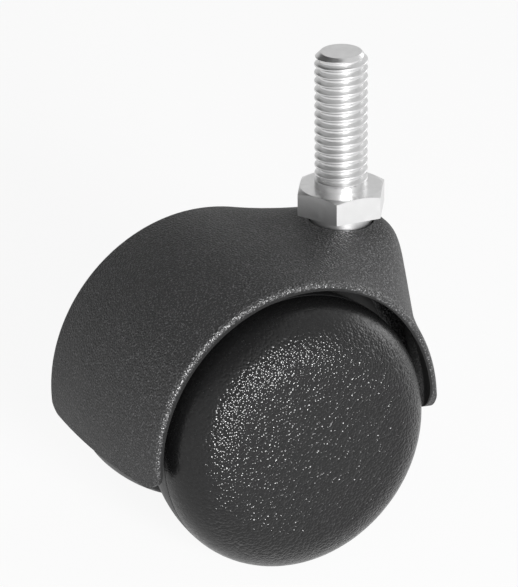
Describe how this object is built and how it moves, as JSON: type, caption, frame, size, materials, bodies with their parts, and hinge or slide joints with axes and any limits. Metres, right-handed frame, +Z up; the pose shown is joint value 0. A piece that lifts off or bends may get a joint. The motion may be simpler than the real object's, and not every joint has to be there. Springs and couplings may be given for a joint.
{
  "type": "twin-wheel castor",
  "caption": "Twin-wheel furniture castor with a moulded hood over domed wheels, trailing behind a swivelling threaded stem with a hexagon for tightening.",
  "frame": {"origin": "on the stem's axis, in the plane of the hexagon's upper face, which seats on the furniture", "axes": "+Z up along the threaded stem, +X to the front of the hood so that the wheels trail towards -X, Y along the axle with the right wheel at -Y"},
  "size_m": [0.0669, 0.0552, 0.0872],
  "materials": {
    "plated_steel": "bright zinc plating on turned steel",
    "spring_steel": "dark spring steel",
    "axle_steel": "plain drawn steel",
    "hood_nylon": "black nylon with a fine moulded grain",
    "wheel_nylon": "plain black nylon",
    "cap_nylon": "black nylon with a coarse moulded grain"
  },
  "bodies": {
    "stem": {"threaded_stem": "plated_steel", "stem_snap_ring": "spring_steel"},
    "housing": {"hood": "hood_nylon", "axle": "axle_steel", "push_nut_left": "spring_steel", "push_nut_right": "spring_steel"},
    "right_wheel": {"wheel_right": "wheel_nylon", "wheel_cap_right": "cap_nylon"},
    "left_wheel": {"wheel_left": "wheel_nylon", "wheel_cap_left": "cap_nylon"}
  },
  "joints": [
    {"name": "swivel", "type": "hinge", "parent": "stem", "child": "housing", "pos_m": [0, 0, 0], "axis": [0, 0, 1], "continuous": true},
    {"name": "right_wheel_spin", "type": "hinge", "parent": "housing", "child": "right_wheel", "pos_m": [-0.0205, 0, -0.0364], "axis": [0, 1, 0], "continuous": true},
    {"name": "left_wheel_spin", "type": "hinge", "parent": "housing", "child": "left_wheel", "pos_m": [-0.0205, 0, -0.0364], "axis": [0, 1, 0], "continuous": true}
  ]
}
